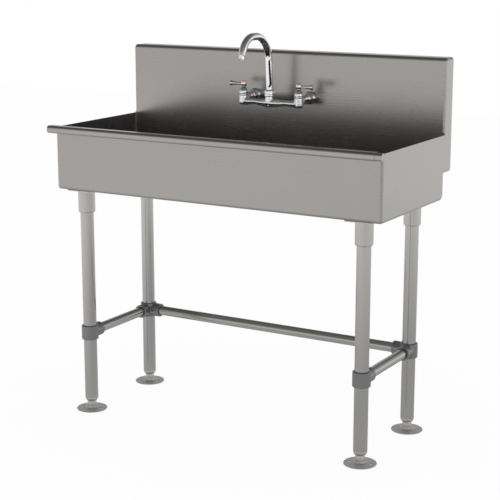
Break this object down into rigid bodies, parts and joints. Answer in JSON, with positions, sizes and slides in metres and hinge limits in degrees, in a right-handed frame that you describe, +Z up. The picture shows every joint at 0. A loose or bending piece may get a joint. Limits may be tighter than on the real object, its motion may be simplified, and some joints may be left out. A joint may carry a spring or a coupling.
{
  "type": "floor-standing hand-wash sink",
  "caption": "Stainless hand-wash sink: one long basin with a high rear splash, rolled front rim, braced tubular legs on screw feet, basket drain and swinging gooseneck faucet.",
  "frame": {"origin": "on the floor, under the centre of the whole outline in plan", "axes": "+Z up, +X along the basin to the user's right, -Y towards the user, +Y towards the wall"},
  "size_m": [1.041, 0.4536, 1.1022],
  "materials": {
    "brushed_sheet": "brushed stainless sheet, grain along the length",
    "rim_steel": "brushed stainless rolled rim",
    "leg_steel": "satin stainless tube",
    "foot_steel": "turned stainless, satin",
    "polished_steel": "polished stainless",
    "cast_fitting": "dark grey cast, fine texture",
    "chrome": "polished chrome plate",
    "brass": "plain machined brass",
    "dark_screw": "black oxide steel",
    "black_rubber": "matt black rubber",
    "hot_mark": "red gloss index button",
    "cold_mark": "blue gloss index button, colour assumed"
  },
  "bodies": {
    "sink_frame": {"end_panel_left": "brushed_sheet", "end_panel_right": "brushed_sheet", "basin_trough": "brushed_sheet", "splash_rear_channel": "brushed_sheet", "front_rim": "rim_steel", "rim_cap_left": "rim_steel", "rim_cap_right": "rim_steel", "leg_socket_front_left": "leg_steel", "leg_tube_front_left": "leg_steel", "foot_insert_front_left": "foot_steel", "rail_fitting_front_left": "cast_fitting", "leg_socket_front_right": "leg_steel", "leg_tube_front_right": "leg_steel", "foot_insert_front_right": "foot_steel", "rail_fitting_front_right": "cast_fitting", "leg_socket_rear_left": "leg_steel", "leg_tube_rear_left": "leg_steel", "foot_insert_rear_left": "foot_steel", "rail_fitting_rear_left": "cast_fitting", "leg_socket_rear_right": "leg_steel", "leg_tube_rear_right": "leg_steel", "foot_insert_rear_right": "foot_steel", "rail_fitting_rear_right": "cast_fitting", "rail_left": "leg_steel", "rail_right": "leg_steel", "rail_rear": "leg_steel", "socket_set_screws": "dark_screw", "fitting_set_screws": "dark_screw", "drain_body": "polished_steel", "drain_gasket": "black_rubber", "drain_locknut": "brass", "faucet_body": "chrome", "wall_flanges": "chrome", "supply_shanks": "brass", "shank_washers": "black_rubber", "shank_locknuts": "brass", "spout_nut": "chrome", "hot_coupling_nut": "chrome", "hot_cartridge": "brass", "hot_bonnet": "chrome", "cold_coupling_nut": "chrome", "cold_cartridge": "brass", "cold_bonnet": "chrome"},
    "spout": {"spout_tube": "chrome", "spout_seal": "black_rubber", "aerator": "chrome"},
    "hot_handle": {"hot_stem": "dark_screw", "hot_lever": "chrome", "hot_handle_screw": "dark_screw", "hot_index_button": "hot_mark"},
    "cold_handle": {"cold_stem": "dark_screw", "cold_lever": "chrome", "cold_handle_screw": "dark_screw", "cold_index_button": "cold_mark"},
    "drain_basket": {"strainer_basket": "polished_steel"},
    "front_left_foot": {"foot_front_left": "foot_steel"},
    "front_right_foot": {"foot_front_right": "foot_steel"},
    "rear_left_foot": {"foot_rear_left": "foot_steel"},
    "rear_right_foot": {"foot_rear_right": "foot_steel"}
  },
  "joints": [
    {"name": "spout_swing", "type": "hinge", "parent": "sink_frame", "child": "spout", "pos_m": [0.0185, 0.10025, 0.93], "axis": [0, 0, 1], "range_deg": [-90, 90]},
    {"name": "hot_turn", "type": "hinge", "parent": "sink_frame", "child": "hot_handle", "pos_m": [-0.0705, 0.10825, 0.95], "axis": [0, 0, 1], "range_deg": [0, 90]},
    {"name": "cold_turn", "type": "hinge", "parent": "sink_frame", "child": "cold_handle", "pos_m": [0.1075, 0.10825, 0.95], "axis": [0, 0, 1], "range_deg": [-90, 0]},
    {"name": "basket_lift", "type": "slide", "parent": "sink_frame", "child": "drain_basket", "axis": [0, 0, 1], "range_m": [0, 0.12]},
    {"name": "front_left_foot_height", "type": "slide", "parent": "sink_frame", "child": "front_left_foot", "axis": [0, 0, -1], "range_m": [0, 0.025]},
    {"name": "front_right_foot_height", "type": "slide", "parent": "sink_frame", "child": "front_right_foot", "axis": [0, 0, -1], "range_m": [0, 0.025]},
    {"name": "rear_left_foot_height", "type": "slide", "parent": "sink_frame", "child": "rear_left_foot", "axis": [0, 0, -1], "range_m": [0, 0.025]},
    {"name": "rear_right_foot_height", "type": "slide", "parent": "sink_frame", "child": "rear_right_foot", "axis": [0, 0, -1], "range_m": [0, 0.025]}
  ]
}
